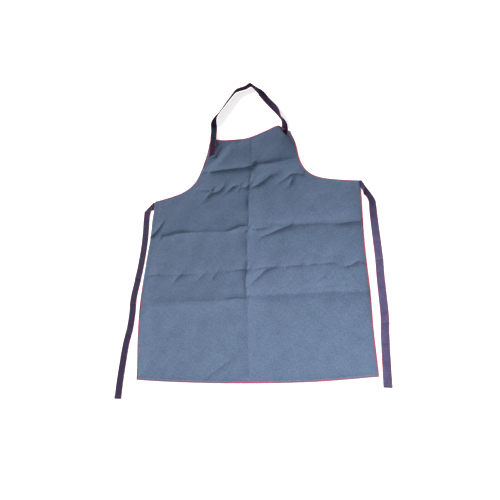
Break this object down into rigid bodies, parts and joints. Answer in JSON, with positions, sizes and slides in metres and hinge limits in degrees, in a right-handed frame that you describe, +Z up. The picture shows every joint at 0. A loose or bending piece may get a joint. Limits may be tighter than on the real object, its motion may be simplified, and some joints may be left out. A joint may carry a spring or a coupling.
{
  "type": "welding apron",
  "caption": "Bib apron of heavy blue cotton with a neck strap loop and a waist tie at each side, laid out flat with its front up.",
  "frame": {"origin": "the surface that the apron lies on, under the middle of the panel and neck strap together", "axes": "+X to the right as one looks at the front, +Y from the hem to the neck, +Z up, out of the front face"},
  "size_m": [0.885, 1.197, 0.025],
  "materials": {
    "blue_cloth": "plain woven heavy cotton, matt",
    "navy_tape": "woven cotton tape, matt",
    "red_thread": "polyester sewing thread, slight sheen",
    "navy_thread": "polyester sewing thread, slight sheen"
  },
  "bodies": {
    "apron": {"apron_panel": "blue_cloth", "edging_bottom": "red_thread", "edging_side_left": "red_thread", "edging_side_right": "red_thread", "edging_armhole_left": "red_thread", "edging_armhole_right": "red_thread", "edging_bib_top": "red_thread", "neck_strap_end_left": "navy_tape", "neck_strap_end_right": "navy_tape", "stitch_neck_left": "red_thread", "stitch_neck_right": "navy_thread", "waist_tie_end_left": "navy_tape", "waist_tie_end_right": "navy_tape", "stitch_waist_left": "navy_thread", "stitch_waist_right": "navy_thread"},
    "neck_loop": {"neck_strap": "navy_tape"},
    "tie_left": {"waist_tie_left": "navy_tape", "stitch_tip_left": "navy_thread"},
    "tie_right": {"waist_tie_right": "navy_tape", "stitch_tip_right": "navy_thread"}
  },
  "joints": [
    {"name": "neck_loop_fold", "type": "hinge", "parent": "apron", "child": "neck_loop", "pos_m": [0, 0.3368, 0.0048], "axis": [1, 0, 0], "range_deg": [0, 150]},
    {"name": "tie_left_swing", "type": "hinge", "parent": "apron", "child": "tie_left", "pos_m": [-0.3843, 0.0873, 0.0006], "axis": [0, 0, -1], "range_deg": [0, 80]},
    {"name": "tie_right_swing", "type": "hinge", "parent": "apron", "child": "tie_right", "pos_m": [0.3843, 0.0873, 0.0006], "axis": [0, 0, 1], "range_deg": [0, 80]}
  ]
}
